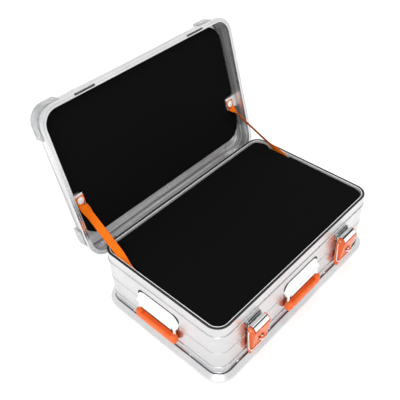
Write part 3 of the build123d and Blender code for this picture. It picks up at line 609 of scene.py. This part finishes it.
def ribbon(name, line, width, thick, look):
    """A flat strap along a line of (point, width direction), with UVs in metres."""
    bm = bmesh.new()
    uv_layer = bm.loops.layers.uv.new("UVMap")
    rows = []
    length = 0.0
    lengths = []
    for index, (point, across) in enumerate(line):
        before = line[max(index - 1, 0)][0]
        after = line[min(index + 1, len(line) - 1)][0]
        normal = (after - before).cross(across).normalized()
        length += (point - before).length
        lengths.append(length)
        top = []
        bottom = []
        for band in range(STRAP_BANDS + 1):
            s = band / STRAP_BANDS - 0.5
            half = thick / 2 * (0.55 if band in (0, STRAP_BANDS) else 1.0)
            top.append(bm.verts.new(point + across * (s * width) + normal * half))
            bottom.append(bm.verts.new(point + across * (s * width) - normal * half))
        rows.append(top + bottom[::-1])
    count = len(rows[0])
    for i in range(len(rows) - 1):
        for j in range(count):
            k = (j + 1) % count
            face = bm.faces.new((rows[i][j], rows[i][k], rows[i + 1][k], rows[i + 1][j]))
            face.smooth = True
            for loop, (row, column) in zip(face.loops, ((i, j), (i, j + 1), (i + 1, j + 1), (i + 1, j))):
                loop[uv_layer].uv = (lengths[row], column * width / STRAP_BANDS)
    bm.faces.new(rows[0][::-1])
    bm.faces.new(rows[-1])
    bmesh.ops.recalc_face_normals(bm, faces=bm.faces)
    mesh = bpy.data.meshes.new(name)
    bm.to_mesh(mesh)
    bm.free()
    return new_object(name, mesh, look)


def lid_strap(side, sign):
    line = strap_line(sign, side)
    strap = ribbon("lid_strap_webbing_" + side, line, STRAP_WIDTH, STRAP_THICK, WEBBING)
    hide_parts("lid_strap_" + side)
    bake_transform(strap)


# ---------------------------------------------------------------- studio
CAMERA_PLACE = Vector((-0.7590, -0.6211, 1.1194))
CAMERA_RIGHT = Vector((0.67925, -0.73298, -0.03688))
CAMERA_AIM = Vector((0.52745, 0.52249, -0.66993))
CAMERA_LENS = 52.25


def add_camera():
    data = bpy.data.cameras.new("camera")
    data.lens = CAMERA_LENS
    data.sensor_width = 36.0
    camera = bpy.data.objects.new("camera", data)
    up = CAMERA_RIGHT.cross(CAMERA_AIM)
    turn = Matrix((CAMERA_RIGHT, up, -CAMERA_AIM)).transposed()
    camera.matrix_world = Matrix.Translation(CAMERA_PLACE) @ turn.to_4x4()
    bpy.context.scene.collection.objects.link(camera)
    bpy.context.scene.camera = camera


def add_area(name, place, target, size, power):
    data = bpy.data.lights.new(name, "AREA")
    data.shape = "RECTANGLE"
    data.size, data.size_y = size
    data.energy = power
    light = bpy.data.objects.new(name, data)
    light.location = place
    light.rotation_euler = (Vector(target) - Vector(place)).to_track_quat("-Z", "Y").to_euler()
    bpy.context.scene.collection.objects.link(light)


FLOOR_HALF = 6.0
FLOOR_DROP = 0.4 * MM       # keeps the floor clear of the underside


def add_floor():
    half = FLOOR_HALF
    corners = [(-half, -half), (half, -half), (half, half), (-half, half)]
    mesh = bpy.data.meshes.new("floor")
    mesh.from_pydata([(x, y, -FLOOR_DROP) for x, y in corners], [], [(0, 1, 2, 3)])
    new_object("floor", mesh, FLOOR)


FLAG_WAY = Vector((0.53, -0.20, 0.82))
FLAG_EDGE = 0.930           # cosines of the angles where the flag's shade begins and is full
FLAG_FULL = 0.955
FLAG_LEVEL = 0.03


def add_world():
    """White surround with one dark flag high up, so that bright metal shows its shape."""
    world = bpy.data.worlds.new("world")
    bpy.context.scene.world = world
    world.use_nodes = True
    tree = world.node_tree
    background = tree.nodes["Background"]
    background.inputs["Strength"].default_value = 1.0
    coordinates = tree.nodes.new("ShaderNodeTexCoord")
    facing = tree.nodes.new("ShaderNodeVectorMath")
    facing.operation = "DOT_PRODUCT"
    facing.inputs[1].default_value = FLAG_WAY.normalized()
    shade = tree.nodes.new("ShaderNodeMapRange")
    shade.inputs["From Min"].default_value = FLAG_EDGE
    shade.inputs["From Max"].default_value = FLAG_FULL
    shade.inputs["To Min"].default_value = 1.0
    shade.inputs["To Max"].default_value = FLAG_LEVEL
    tree.links.new(coordinates.outputs["Generated"], facing.inputs[0])
    tree.links.new(facing.outputs["Value"], shade.inputs["Value"])
    tree.links.new(shade.outputs["Result"], background.inputs["Color"])


def build_studio():
    add_floor()
    add_world()
    add_area("key", (-1.6, -1.2, 2.6), (0, 0, 0.1), (1.4, 1.4), 22)
    add_area("top", (0.6, 0.4, 2.8), (0, 0, 0.1), (2.2, 1.6), 10)
    add_camera()
    bpy.context.scene.view_settings.view_transform = "Standard"


# ---------------------------------------------------------------- build
dress_nodes()
for sheet_node, sheet_body, sheet_voxel in FOAM_SHEETS:
    foam_sheet(sheet_node, sheet_body, sheet_voxel)
for side_name, side_sign in SIDES:
    lid_strap(side_name, side_sign)
    keeper_pocket_shadow(side_name)
frame_gap_shadow()
all_plate_shadows()
build_studio()
